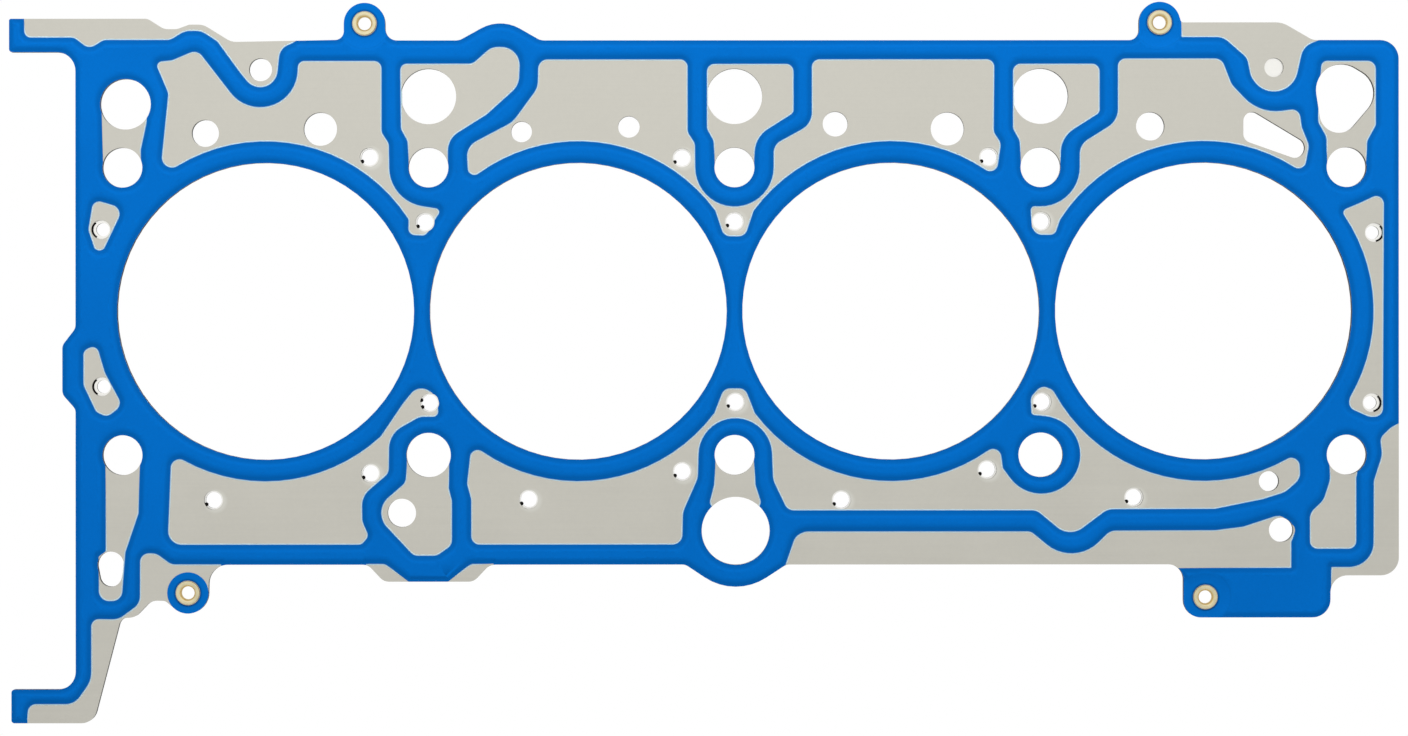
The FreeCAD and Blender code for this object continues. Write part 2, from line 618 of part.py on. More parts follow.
def windows(plan):
    """Every bare window of the print."""
    return [
        first_cylinder_window(plan), first_bolt_window(plan), second_bolt_window(plan),
        middle_cylinders_window(plan), inner_bolt_window(plan, 3), inner_bolt_window(plan, 4),
        fourth_cylinder_window(plan), last_bolt_window(plan), *left_end_windows(plan),
        right_end_window(plan), slot_window(plan), lower_first_window(plan),
        lower_dowel_window(plan), lower_long_window(plan), lower_middle_window(plan),
        lower_last_window(plan),
    ]


# Bare margins. Each outline runs past the edge of the steel, so that the edge ends it.

def upper_left_margin(plan):
    """Bare top of the upper left tongue, with a pocket round the first breather hole."""
    b, c, up = plan.bolt_x, plan.bore_x, plan.up
    return [
        (b[1] - 28.3, up(45.6), 0.5), (b[1] - 28.3, up(36.0), 2.0), (b[1] - 13.9, up(36.0), 3.0),
        (b[1] - 9.6, up(32.7), 3.0), (b[1] - 5.3, up(35.3), 3.0), (b[1] + 13.8, up(35.3), 4.0),
        (b[1] + 18.1, up(37.9), 5.0), (c[1] - 18.5, up(37.9), 5.0), (c[1] - 13.9, up(34.9), 3.0),
        (c[1] - 7.2, up(25.7), 6.0), plan.bend(c[1] - 1.5, up(26.8), 5.1), (c[1] + 4.3, up(32.9), 4.0),
        (c[1] + 8.9, up(34.8), 3.5), (c[1] + 12.6, up(45.6), 0.5),
    ]


def upper_right_margin(plan):
    """Bare edge right of the second eyelet, with a pocket round the blind port."""
    b, c, up = plan.bolt_x, plan.bore_x, plan.up
    return [
        (c[4] - 6.4, up(36.0), 0.3), (c[4] + 5.6, up(36.0), 5.0), (c[4] + 12.5, up(30.0), 4.0),
        (c[4] + 13.6, up(24.6), 5.0), plan.bend(c[4] + 20.3, up(27.3), 7.0), (b[5] - 12.4, up(33.2), 5.0),
        (b[5] - 5.9, up(36.0), 2.0), (b[5] - 5.9, up(47.0), 0.5), (c[4] - 6.4, up(47.0), 0.5),
    ]


def dowel_bump_margin(plan):
    """Two bare corners of the bump under the second lower bolt."""
    b, down = plan.bolt_x, plan.down
    return [
        (b[2] - 18.1, down(29.9), 0.3), (b[2] - 12.5, down(29.9), 2.5), (b[2] - 5.1, down(35.6), 4.0),
        (b[2] + 5.0, down(35.6), 4.0), (b[2] + 12.1, down(29.9), 3.0), (b[2] + 18.8, down(29.9), 0.3),
        (b[2] + 18.8, down(40.5), 0.3), (b[2] - 18.1, down(40.5), 0.3),
    ]


def lower_right_margin(plan):
    """Bare strip under the long strip of print, as far as the fourth eyelet's tongue."""
    b, c, down = plan.bolt_x, plan.bore_x, plan.down
    return [
        (b[3] + 14.3, down(37.6), 0.5), (b[3] + 14.7, down(29.8), 1.5), (b[3] + 17.5, down(21.7), 4.0),
        (b[3] + 20.6, down(20.6), 3.0), (b[4] - 2.8, down(20.6), 3.0), (b[4] + 9.5, down(30.7), 11.0),
        (b[4] + 20.0, down(20.4), 4.0), (c[4] + 3.3, down(20.3), 6.0), (c[4] + 11.3, down(19.3), 6.0),
        (b[5] - 19.2, down(15.8), 3.5), (b[5] - 14.6, down(19.7), 2.0), (b[5] - 15.9, down(23.8), 2.0),
        (b[5] - 15.9, down(31.3), 0.3), (c[4] - 7.7, down(31.3), 0.3), (c[4] - 7.7, down(37.6), 0.5),
    ]


def right_edge_margin(plan):
    """Bare lower right corner of the sheets."""
    b, down = plan.bolt_x, plan.down
    return [
        (b[5] + 21.5, down(-13.1), 0.5), (b[5] + 12.8, down(-9.4), 5.0), (b[5] + 9.5, down(-6.2), 3.0),
        (b[5] + 10.1, down(-1.3), 6.0), (b[5] + 7.7, down(6.2), 3.0), (b[5] + 7.6, down(30.9), 7.0),
        (b[5] - 4.5, down(30.9), 0.3), (b[5] - 4.5, down(40.5), 0.5), (b[5] + 21.5, down(40.5), 0.5),
    ]


def lower_left_margin(plan):
    """Bare steel round the third eyelet and along the lower left tongue."""
    b, c, down = plan.bolt_x, plan.bore_x, plan.down
    return [
        (b[1] - 9.1, down(45.7), 2.3), (b[1] - 1.2, down(45.8), 5.0), (b[1] + 4.9, down(41.3), 4.0),
        (b[1] + 5.0, down(26.8), 2.6), (b[1] + 9.7, down(26.8), 4.0), (b[1] + 14.1, down(30.0), 3.5),
        (c[1] - 12.7, down(30.0), 0.3), (c[1] - 12.7, down(52.0), 0.5), (b[1] + 7.7, down(52.0), 0.5),
        (b[1] + 7.7, down(80.8), 0.5), (b[1] - 27.4, down(80.8), 0.5), (b[1] - 27.4, down(70.2), 2.5),
        (b[1] - 13.9, down(70.2), 5.0), (b[1] - 9.1, down(63.5), 8.0),
    ]


def margins(plan):
    """Every bare margin of the print."""
    return [
        upper_left_margin(plan), upper_right_margin(plan), dowel_bump_margin(plan),
        lower_right_margin(plan), right_edge_margin(plan), lower_left_margin(plan),
    ]


# Flat faces of the layers.

def with_holes(outlines):
    """Flat face inside the first outline, less all the others."""
    return Part.makeFace(outlines, "Part::FaceMakerBullseye")


def outer_sheet_face(plan, extra_circles):
    """Face of an embossed sheet, with its holes."""
    holes = [circle_wire(*circle) for circle in outer_circles(plan) + extra_circles]
    holes += [outline_wire(port) for port in shaped_ports(plan)]
    return with_holes([outline_wire(steel_outline(plan))] + holes)


def print_face(plan):
    """Face of the printed elastomer, less the patch at the third eyelet."""
    bare = [Part.Face(outline_wire(outline)) for outline in windows(plan) + margins(plan)]
    bare += [Part.Face(circle_wire(*eyelet_place(plan, n), plan.rim_clearance_radius))
             for n in range(1, 5)]
    return outer_sheet_face(plan, []).cut(bare)


def patch_face(plan):
    """Face of the round patch of print at the third eyelet."""
    place = eyelet_place(plan, 3)
    return with_holes([circle_wire(*place, plan.ear_radius),
                       circle_wire(*place, plan.rim_clearance_radius)])


def tapered_cutter(outline, plan, height):
    """Solid that keeps the bead clear of an outline, wider at the crest than at the foot."""
    low = plan.bead_foot_inset - FLANK_SPARE * plan.bead_slope_width
    high = plan.bead_foot_inset + (1 + FLANK_SPARE) * plan.bead_slope_width
    wires = [outline_wire(outline, -FLANK_SPARE * height, low),
             outline_wire(outline, (1 + FLANK_SPARE) * height, high)]
    return Part.makeLoft(wires, True, True)


def hole_cutter(circle, plan, height):
    """The same for a round hole."""
    x, y, radius = circle
    low = radius + plan.bead_foot_inset - FLANK_SPARE * plan.bead_slope_width
    high = radius + plan.bead_foot_inset + (1 + FLANK_SPARE) * plan.bead_slope_width
    wires = [circle_wire(x, y, low, -FLANK_SPARE * height),
             circle_wire(x, y, high, (1 + FLANK_SPARE) * height)]
    return Part.makeLoft(wires, True, True)


def bead_relief(plan, height):
    """Raised land under the print, sloped towards every edge; a negative height points down."""
    edge = steel_outline(plan)
    wires = [outline_wire(edge, 0.0, -plan.bead_foot_inset),
             outline_wire(edge, height, -plan.bead_foot_inset - plan.bead_slope_width)]
    land = Part.makeLoft(wires, True, True)
    bare = windows(plan) + margins(plan) + shaped_ports(plan)
    cutters = [tapered_cutter(outline, plan, height) for outline in bare]
    circles = [c for c in outer_circles(plan) if c[2] > plan.coolant_hole_diameter / 2]
    circles += [(*eyelet_place(plan, n), plan.ear_radius) for n in range(1, 5)]
    cutters += [hole_cutter(circle, plan, height) for circle in circles]
    return land.cut(cutters)


# Objects of the document.

def fixed_shape(doc, name, shape):
    """Feature whose shape is worked out here, from the sizes of the sheet."""
    feature = doc.addObject("Part::Feature", name)
    feature.Shape = shape
    return feature


def extruded(doc, name, face, size, height):
    """Extrusion of a face by one size of the sheet, standing at a height."""
    base = fixed_shape(doc, name + "_face", face)
    solid = doc.addObject("Part::Extrusion", name)
    solid.Base = base
    solid.DirMode = "Custom"
    solid.Dir = FreeCAD.Vector(0, 0, 1)
    solid.Solid = True
    solid.setExpression("LengthFwd", "%s.%s" % (SHEET, size))
    solid.Placement = FreeCAD.Placement(FreeCAD.Vector(0, 0, height), FreeCAD.Rotation())
    return solid


def embossed(doc, name, flat, relief, outer_plane, inner_plane):
    """Flat layer with the relief added on one plane and taken out of the other."""
    ridge = fixed_shape(doc, name + "_ridge", relief.translated(FreeCAD.Vector(0, 0, outer_plane)))
    hollow = fixed_shape(doc, name + "_hollow", relief.translated(FreeCAD.Vector(0, 0, inner_plane)))
    raised = doc.addObject("Part::MultiFuse", name + "_raised")
    raised.Shapes = [flat, ridge]
    layer = doc.addObject("Part::Cut", name)
    layer.Base = raised
    layer.Tool = hollow
    layer.Label = name
    return layer


def origin_plane(body, role):
    return next(f for f in body.Origin.OriginFeatures if f.Role == role)


def new_sketch(body, name, plane):
    """Empty sketch on one of its body's own origin planes."""
    sketch = body.newObject("Sketcher::SketchObject", name)
    sketch.AttachmentSupport = [(origin_plane(body, plane), "")]
    sketch.MapMode = "FlatFace"
    return sketch


def add_circle(sketch, x, y, radius, expression):
    """Circle at a fixed place, with its radius bound to the sheet."""
    circle = Part.Circle(FreeCAD.Vector(x, y, 0), FreeCAD.Vector(0, 0, 1), radius)
    index = sketch.addGeometry(circle, False)
    for kind, value in (("DistanceX", x), ("DistanceY", y)):
        sketch.addConstraint(Sketcher.Constraint(kind, -1, 1, index, 3, value))
    bound = sketch.addConstraint(Sketcher.Constraint("Radius", index, radius))
    sketch.setExpression("Constraints[%d]" % bound, expression)


def make_outer_layer(doc, name, plan, relief, top):
    """Embossed sheet: its bore beads point away from the carrier."""
    face = outer_sheet_face(plan, [blind_port(plan)] if top else [])
    lower = plan.upper_flat if top else plan.lower_flat
    upper = lower + plan.outer_thickness
    flat = extruded(doc, name + "_flat", face, "outer_thickness", lower)
    planes = (upper, lower) if top else (lower, upper)
    return embossed(doc, name, flat, relief, *planes)


def make_coating(doc, name, plan, relief, top):
    """Printed elastomer on the outside of an embossed sheet, over its bore beads."""
    lower = plan.upper_face if top else plan.lower_flat - plan.coating_thickness
    upper = lower + plan.coating_thickness
    flat = extruded(doc, name + "_flat", print_face(plan), "coating_thickness", lower)
    planes = (upper, lower) if top else (lower, upper)
    return embossed(doc, name, flat, relief, *planes)


def make_patch(doc, name, plan, top):
    """Round patch of the print, apart from the rest, at the third eyelet."""
    lower = plan.upper_face if top else plan.lower_flat - plan.coating_thickness
    patch = extruded(doc, name, patch_face(plan), "coating_thickness", lower)
    patch.Label = name
    return patch


def make_carrier(doc, plan):
    """Plain middle sheet, padded from its outline and pierced through."""
    body = doc.addObject("PartDesign::Body", "carrier_layer")
    edge = new_sketch(body, "carrier_edge", "XY_Plane")
    edge.addGeometry([e.Curve.trim(*e.ParameterRange) for e in outline_wire(steel_outline(plan)).Edges])
    pad = body.newObject("PartDesign::Pad", "carrier_blank")
    pad.Profile = edge
    pad.setExpression("Length", SHEET + ".carrier_thickness")
    doc.recompute()
    solid_volume = pad.Shape.Volume
    pierce(body, "bores", [(x, 0.0) for x in plan.bore_x.values()], plan.bore_diameter, "bore_diameter")
    pierce(body, "coolant", coolant_places(plan), plan.metering_diameter, "metering_diameter")
    inward = [(x * (1 - plan.end_metering_shift / abs(x)), y) for x, y in end_coolant_places(plan)]
    pierce(body, "end_coolant", inward, plan.end_metering_diameter, "end_metering_diameter")
    pierce_plain(body, plan)
    doc.recompute()
    if body.Shape.Volume >= solid_volume:
        raise RuntimeError("the carrier's holes cut nothing")
    body.Placement = FreeCAD.Placement(FreeCAD.Vector(0, 0, plan.carrier_bottom), FreeCAD.Rotation())
    body.Label = "carrier_layer"
    return body


def cut_through(body, sketch):
    """Pocket through the whole body."""
    pocket = body.newObject("PartDesign::Pocket", sketch.Name + "_cut")
    pocket.Profile = sketch
    pocket.Type = "ThroughAll"
    pocket.Midplane = True


def pierce(body, name, places, diameter, alias):
    """Round holes of one size, bound to the sheet, through the body."""
    sketch = new_sketch(body, name, "XY_Plane")
    for x, y in places:
        add_circle(sketch, x, y, diameter / 2, "%s.%s / 2" % (SHEET, alias))
    cut_through(body, sketch)


def pierce_plain(body, plan):
    """Bolt holes, ports and eyelet holes, which match the outer sheets."""
    sketch = new_sketch(body, "bolts_and_ports", "XY_Plane")
    tube = plan.eyelet_tube_clearance
    circles = bolt_holes(plan) + port_holes(plan)
    circles += [(*eyelet_place(plan, n), tube) for n in range(1, 5)]
    for x, y, radius in circles:
        sketch.addGeometry(Part.Circle(FreeCAD.Vector(x, y, 0), FreeCAD.Vector(0, 0, 1), radius))
    for port in shaped_ports(plan):
        sketch.addGeometry([e.Curve.trim(*e.ParameterRange) for e in outline_wire(port).Edges])
    cut_through(body, sketch)


def make_stopper(doc, plan, number):
    """Thin ring laid on the carrier at one bore."""
    name = "stopper_ring_%d" % number
    body = doc.addObject("PartDesign::Body", name)
    sketch = new_sketch(body, name + "_section", "XY_Plane")
    outer = plan.bore_radius + plan.stopper_width
    add_circle(sketch, 0, 0, plan.bore_radius, SHEET + ".bore_diameter / 2")
    add_circle(sketch, 0, 0, outer, "%s.bore_diameter / 2 + %s.stopper_width" % (SHEET, SHEET))
    pad = body.newObject("PartDesign::Pad", name + "_pad")
    pad.Profile = sketch
    pad.setExpression("Length", SHEET + ".stopper_thickness")
    place = FreeCAD.Vector(plan.bore_x[number], 0, plan.carrier_top)
    body.Placement = FreeCAD.Placement(place, FreeCAD.Rotation())
    body.Label = name
    return body


def eyelet_section(plan):
    """Half section of an eyelet with sharp corners: radius and height of each."""
    bore = plan.eyelet_bore_diameter / 2
    tube = bore + plan.eyelet_wall
    rim = plan.eyelet_flange_diameter / 2
    top = plan.total_height
    return [
        (bore, 0), (rim, 0), (rim, plan.rim_height), (tube, plan.rim_height),
        (tube, top - plan.rim_height), (rim, top - plan.rim_height), (rim, top), (bore, top),
    ]


def end_edges(shape, plan, radius):
    """Names of the round edges of one radius on the two end faces of an eyelet."""
    names = []
    for index, edge in enumerate(shape.Edges, start=1):
        middle = edge.BoundBox.Center
        at_end = abs(abs(middle.z - plan.total_height / 2) - plan.total_height / 2) < EDGE_MATCH
        if at_end and abs(edge.BoundBox.XMax - middle.x - radius) < EDGE_MATCH:
            names.append("Edge%d" % index)
    return names


def rounded(body, base, name, edges, alias):
    """Fillet of some edges of a feature, bound to one size of the sheet."""
    fillet = body.newObject("PartDesign::Fillet", name)
    fillet.Base = (base, edges)
    fillet.setExpression("Radius", "%s.%s" % (SHEET, alias))
    return fillet


def make_eyelet(doc, plan, number):
    """Rolled eyelet: a tube that flares into a rim on each face of the stack."""
    name = "eyelet_%d" % number
    body = doc.addObject("PartDesign::Body", name)
    sketch = new_sketch(body, name + "_section", "XZ_Plane")
    corners = [FreeCAD.Vector(r, z, 0) for r, z in eyelet_section(plan)]
    for start, end in zip(corners, corners[1:] + corners[:1]):
        sketch.addGeometry(Part.LineSegment(start, end))
    turned = body.newObject("PartDesign::Revolution", name + "_turned")
    turned.Profile = sketch
    turned.ReferenceAxis = (sketch, ["V_Axis"])
    turned.Angle = 360
    doc.recompute()
    throat = rounded(body, turned, name + "_throat",
                     end_edges(turned.Shape, plan, plan.eyelet_bore_diameter / 2), "eyelet_throat")
    doc.recompute()
    rounded(body, throat, name + "_lip",
            end_edges(throat.Shape, plan, plan.eyelet_flange_diameter / 2), "eyelet_lip")
    x, y = eyelet_place(plan, number)
    body.Placement = FreeCAD.Placement(FreeCAD.Vector(x, y, 0), FreeCAD.Rotation())
    body.Label = name
    return body


def make_parts(doc, plan):
    """Every sub-part, from the top of the stack down."""
    parts = [make_eyelet(doc, plan, n) for n in range(1, 5)]
    for side, top in (("upper", True), ("lower", False)):
        relief = bead_relief(plan, plan.bead_height if top else -plan.bead_height)
        parts.append(make_coating(doc, side + "_seal_coating", plan, relief, top))
        parts.append(make_patch(doc, side + "_seal_patch", plan, top))
        parts.append(make_outer_layer(doc, side + "_bead_layer", plan, relief, top))
    parts += [make_stopper(doc, plan, n) for n in range(1, 5)]
    parts.append(make_carrier(doc, plan))
    return parts


def check(doc, parts):
    """Stop if any object failed or any sub-part is not one sound solid."""
    for item in doc.Objects:
        if {"Invalid", "Error"} & set(item.State):
            raise RuntimeError("%s failed: %s" % (item.Name, item.State))
    for part in parts:
        shape = part.Shape
        if shape.isNull() or not shape.isValid() or len(shape.Solids) != 1:
            raise RuntimeError("%s is not one sound solid" % part.Label)


def main():
    doc = FreeCAD.newDocument("cylinder_head_gasket")
    sheet = fill_spreadsheet(doc)
    parts = make_parts(doc, Plan(sheet))
    doc.recompute()
    check(doc, parts)
    os.makedirs("parts", exist_ok=True)
    for part in parts:
        part.Shape.exportStep(os.path.join("parts", part.Label + ".step"))
        box = part.Shape.BoundBox
        print("%-22s volume %9.1f  z %.3f to %.3f" % (part.Label, part.Shape.Volume, box.ZMin, box.ZMax))


main()
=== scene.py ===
import logging
import math
from dataclasses import dataclass
from enum import Enum
from functools import reduce
from typing import Any

import bmesh
import bpy
from mathutils import Matrix, Vector
from mathutils.bvhtree import BVHTree


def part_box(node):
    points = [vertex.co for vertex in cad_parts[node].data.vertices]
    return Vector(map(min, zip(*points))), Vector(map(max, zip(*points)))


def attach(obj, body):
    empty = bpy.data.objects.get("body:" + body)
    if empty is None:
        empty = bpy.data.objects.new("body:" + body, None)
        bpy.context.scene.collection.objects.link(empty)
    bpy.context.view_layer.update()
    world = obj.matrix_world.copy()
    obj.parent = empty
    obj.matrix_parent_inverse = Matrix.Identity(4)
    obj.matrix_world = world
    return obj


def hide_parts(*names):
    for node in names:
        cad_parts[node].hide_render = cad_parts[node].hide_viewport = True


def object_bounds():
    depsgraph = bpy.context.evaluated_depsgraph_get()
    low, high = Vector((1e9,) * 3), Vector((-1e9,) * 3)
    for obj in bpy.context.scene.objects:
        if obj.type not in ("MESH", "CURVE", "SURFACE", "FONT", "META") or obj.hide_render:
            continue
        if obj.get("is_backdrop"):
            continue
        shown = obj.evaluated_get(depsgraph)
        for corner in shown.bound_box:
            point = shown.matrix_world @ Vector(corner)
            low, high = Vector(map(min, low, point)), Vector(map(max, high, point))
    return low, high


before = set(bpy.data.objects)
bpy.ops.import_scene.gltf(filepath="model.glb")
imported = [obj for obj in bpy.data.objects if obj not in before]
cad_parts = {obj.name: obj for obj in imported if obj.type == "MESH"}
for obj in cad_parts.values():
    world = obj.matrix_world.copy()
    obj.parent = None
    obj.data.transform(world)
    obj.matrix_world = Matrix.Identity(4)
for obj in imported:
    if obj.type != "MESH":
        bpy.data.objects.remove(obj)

log = logging.getLogger("head_gasket")

MM = 0.001
BODY = "root"
EYELET_NUMBERS = range(1, 5)
# Noise from Blender's texture rarely leaves this range, so it is stretched to run from 0 to 1.
NOISE_RANGE = (0.3, 0.7)
MERGE_DISTANCE = MM / 10000
WHITE = (1.0, 1.0, 1.0, 1.0)


class Slot(Enum):
    """Names of three material slots."""

    CARRIER_STEEL = "carrier_steel"
    SEAL_PRINT = "seal_print"
    EYELET_BRASS = "eyelet_brass"


class Side(Enum):
    """The two outer sheets, by the words that their nodes' names begin with."""

    UPPER = "upper"
    LOWER = "lower"


@dataclass(frozen=True)
class Colour:
    """A colour as a picture shows it, 0 to 255 a channel."""

    red: float
    green: float
    blue: float

    def linear(self, gain: float = 1.0) -> tuple[float, float, float, float]:
        """Linear colour for a shader socket.

        Args:
            gain: Factor on every channel, for a lighter or darker shade.

        Returns:
            Red, green, blue and alpha, each at most 1.
        """
        def channel(value: float) -> float:
            """One channel out of the picture's curve."""
            share = value / 255
            flat = share / 12.92 if share <= 0.04045 else ((share + 0.055) / 1.055) ** 2.4
            return min(flat * gain, 1.0)

        return channel(self.red), channel(self.green), channel(self.blue), 1.0


class Signal:
    """A shader socket that is added, subtracted and multiplied as a number."""

    def __init__(self, shade: "Shade", socket: bpy.types.NodeSocket) -> None:
        """Keep the socket and the material it belongs to."""
        self.shade = shade
        self.socket = socket

    def _with(self, operation: str, first: Any, second: Any) -> "Signal":
        """Math node of one operation on two values."""
        return self.shade.node("ShaderNodeMath", {"operation": operation}, {0: first, 1: second})

    def __add__(self, other: Any) -> "Signal":
        """Sum."""
        return self._with("ADD", self, other)

    def __sub__(self, other: Any) -> "Signal":
        """Difference."""
        return self._with("SUBTRACT", self, other)

    def __rsub__(self, other: Any) -> "Signal":
        """Difference from a number."""
        return self._with("SUBTRACT", other, self)

    def __mul__(self, other: Any) -> "Signal":
        """Product."""
        return self._with("MULTIPLY", self, other)

    __radd__ = __add__
    __rmul__ = __mul__


class Shade:
    """One node material, with a Principled shader that its finish fills in."""

    def __init__(self, name: str) -> None:
        """Start an empty material of that name."""
        self.material = bpy.data.materials.new(name)
        self.material.use_nodes = True
        self.tree = self.material.node_tree
        self.tree.nodes.clear()
        self.output = self.tree.nodes.new("ShaderNodeOutputMaterial")
        self.surface = self.tree.nodes.new("ShaderNodeBsdfPrincipled")
        self.tree.links.new(self.surface.outputs["BSDF"], self.output.inputs["Surface"])

    def node(self, kind: str, settings: dict[str, Any], values: dict[Any, Any],
             out: Any = 0) -> Signal:
        """Add any node.

        Args:
            kind: Blender's type name of the node.
            settings: Properties that are set first.
            values: Numbers, colours or signals for its inputs.
            out: Name or number of the output that is returned.

        Returns:
            The chosen output as a signal.
        """
        made = self.tree.nodes.new(kind)
        for key, value in settings.items():
            setattr(made, key, value)
        for key, value in values.items():
            self.feed(made.inputs[key], value)
        return Signal(self, made.outputs[out])

    def feed(self, socket: bpy.types.NodeSocket, value: Any) -> None:
        """Link a signal to a socket, or set the socket to a plain value.

        Args:
            socket: Input of a node.
            value: Signal, number, colour or vector.
        """
        if isinstance(value, Signal):
            self.tree.links.new(value.socket, socket)
        else:
            socket.default_value = value

    def place(self, stretch: tuple[float, float, float] = (1, 1, 1)) -> Signal:
        """Object coordinates, stretched along the axes."""
        here = self.node("ShaderNodeTexCoord", {}, {}, "Object")
        return self.node("ShaderNodeMapping", {}, {"Vector": here, "Scale": stretch})

    def height(self) -> Signal:
        """Height above the frame's origin."""
        here = self.node("ShaderNodeTexCoord", {}, {}, "Object")
        return self.node("ShaderNodeSeparateXYZ", {}, {0: here}, "Z")

    def size_of(self, signal: Signal) -> Signal:
        """A signal without its sign."""
        return self.node("ShaderNodeMath", {"operation": "ABSOLUTE"}, {0: signal})

    def lesser(self, first: Signal, second: Signal) -> Signal:
        """The smaller of two signals."""
        return self.node("ShaderNodeMath", {"operation": "MINIMUM"}, {0: first, 1: second})

    def greater(self, first: Signal, second: Signal) -> Signal:
        """The larger of two signals."""
        return self.node("ShaderNodeMath", {"operation": "MAXIMUM"}, {0: first, 1: second})

    def cloud(self, size: float, detail: float = 3.0, rough: float = 0.55,
              stretch: tuple[float, float, float] = (1, 1, 1),
              limits: tuple[float, float] = NOISE_RANGE) -> Signal:
        """Noise that runs from 0 to 1.

        Args:
            size: Width of one blotch in metres.
            detail: Octaves of finer noise on it.
            rough: Weight of those octaves.
            stretch: Factor on each axis, under 1 to draw the blotches out along it.
            limits: Values of the raw noise that become 0 and 1.

        Returns:
            The noise's value.
        """
        noise = self.node("ShaderNodeTexNoise", {}, {
            "Vector": self.place(stretch), "Scale": 1 / size, "Detail": detail, "Roughness": rough})
        return self.spread(noise, *limits)

    def blend(self, share: Any, first: Any, second: Any) -> Signal:
        """Colour between two others."""
        return self.node("ShaderNodeMix", {"data_type": "RGBA"}, {0: share, 6: first, 7: second}, 2)

    def spread(self, signal: Signal, low: float, high: float) -> Signal:
        """Stretch a signal so that the given range runs from 0 to 1, and clamp it."""
        return self.node("ShaderNodeMapRange", {}, {0: signal, 1: low, 2: high})

    def mottled(self, share: Signal, colour: Colour, swing: float, gain: float = 1.0) -> Signal:
        """Colour that varies with a pattern round its own value.

        Args:
            share: Pattern from 0 to 1.
            colour: The colour in the middle.
            swing: How far it varies each way, as a share of it.
            gain: Factor on the whole, for a lighter or darker shade.

        Returns:
            The varied colour.
        """
        return self.blend(share, colour.linear(gain * (1 - swing)),
                          colour.linear(gain * (1 + swing)))

    def around(self, middle: float, *parts: tuple[Signal, float]) -> Signal:
        """Number that varies evenly round a middle value.

        Args:
            middle: The middle value.
            *parts: Patterns from 0 to 1, each with the full swing that it adds.

        Returns:
            The varied number.
        """
        total = middle - sum(swing for _, swing in parts) / 2
        for pattern, swing in parts:
            total = pattern * swing + total
        return total

    def facing_up(self, low: float = 0.35, high: float = 0.8) -> Signal:
        """1 on level faces and 0 on the walls of cuts and holes.

        Args:
            low: Upright part of the normal up to which the signal is 0.
            high: Upright part from which it is 1.

        Returns:
            The signal, the same on faces that look down.
        """
        normal = self.node("ShaderNodeTexCoord", {}, {}, "Normal")
        upright = self.node("ShaderNodeSeparateXYZ", {}, {0: normal}, "Z")
        return self.spread(self.size_of(upright), low, high)

    def height_from(self, middle: float, low: float, high: float) -> Signal:
        """Rise from 0 to 1 between two distances above or below a level.

        Args:
            middle: Height of the level that both sides are measured from.
            low: Distance from it at which the rise starts.
            high: Distance from it at which it ends.

        Returns:
            The rise, the same on both sides of the level.
        """
        return self.spread(self.size_of(self.height() - middle), low, high)

    def near(self, places: tuple[tuple[float, float], ...], inner: float, outer: float) -> Signal:
        """1 round each of some upright axes, fading to 0.

        Args:
            places: X and Y of each axis in metres.
            inner: Distance from an axis up to which the signal is 1.
            outer: Distance from which it is 0.

        Returns:
            The nearest axis's share.
        """
        flat = self.place((1, 1, 0))
        reaches = [self.node("ShaderNodeVectorMath", {"operation": "DISTANCE"},
                             {0: flat, 1: (x, y, 0)}, "Value") for x, y in places]
        return 1 - self.spread(reduce(self.lesser, reaches), inner, outer)

    def bump(self, height: Signal, depth: float, strength: float) -> Signal:
        """Normal of a height pattern whose full swing is the given depth in metres."""
        return self.node("ShaderNodeBump", {}, {"Height": height, "Distance": depth,
                                                "Strength": strength}, "Normal")

    def finish(self, **values: Any) -> bpy.types.Material:
        """Fill the Principled shader's sockets.

        Args:
            **values: Signal or plain value for each socket, its words joined by underscores.

        Returns:
            The material.
        """
        for key, value in values.items():
            socket = key.replace("_", " ").title().replace("Ior", "IOR")
            self.feed(self.surface.inputs[socket], value)
        return self.material


@dataclass(frozen=True)
class RolledSteel:
    """Bare cold-rolled sheet: satin, slightly warm, with the faint lines of the rolls."""

    name: str
    colour: Colour
    roughness: float = 0.36
    mottle: float = 0.05
    grain: float = 0.25
    relief: float = 0.004 * MM
    blotch_size: float = 22 * MM
    fine_size: float = 1.1 * MM
    line_size: float = 0.6 * MM
    line_stretch: tuple[float, float, float] = (0.012, 1, 1)
    weights: tuple[float, float, float] = (0.45, 0.25, 0.30)
    line_relief: float = 0.7
    line_roughness: float = 0.06
    blotch_roughness: float = 0.05
    edge_roughness: float = 0.2
    cut_edge_painted_shade: Colour = Colour(58, 56, 51)
    highlight_places: tuple[tuple[float, float], ...] = ()
    highlight_colour: Colour = Colour(197, 196, 188)
    highlight_inner: float = 2.7 * MM
    highlight_outer: float = 3.7 * MM

    def material(self) -> bpy.types.Material:
        """Make the material of the sheet.

        Returns:
            The material, with painted shade on the walls of cuts and holes, which are duller too.
        """
        shade = Shade(self.name)
        blotch = shade.cloud(self.blotch_size, 4.0)
        fine = shade.cloud(self.fine_size, 2.0, limits=(0.25, 0.75))
        lines = shade.cloud(self.line_size, 3.0, 0.6, self.line_stretch)
        for_blotch, for_fine, for_lines = self.weights
        share = blotch * for_blotch + fine * for_fine + lines * for_lines
        face = shade.mottled(share, self.colour, self.mottle)
        # Painted highlight: a lighter ring round each coolant hole.
        if self.highlight_places:
            highlight = shade.near(self.highlight_places, self.highlight_inner, self.highlight_outer)
            face = shade.blend(highlight, face, self.highlight_colour.linear())
        # Painted shade: walls of cuts and holes take the dark cut-edge colour.
        level = shade.facing_up()
        rough = shade.around(self.roughness, (lines, self.line_roughness),
                             (blotch, self.blotch_roughness))
        height = lines * self.line_relief + fine * (1 - self.line_relief)
        return shade.finish(base_color=shade.blend(level, self.cut_edge_painted_shade.linear(), face),
                            metallic=1.0, roughness=rough + (1 - level) * self.edge_roughness,
                            normal=shade.bump(height, self.relief, self.grain))


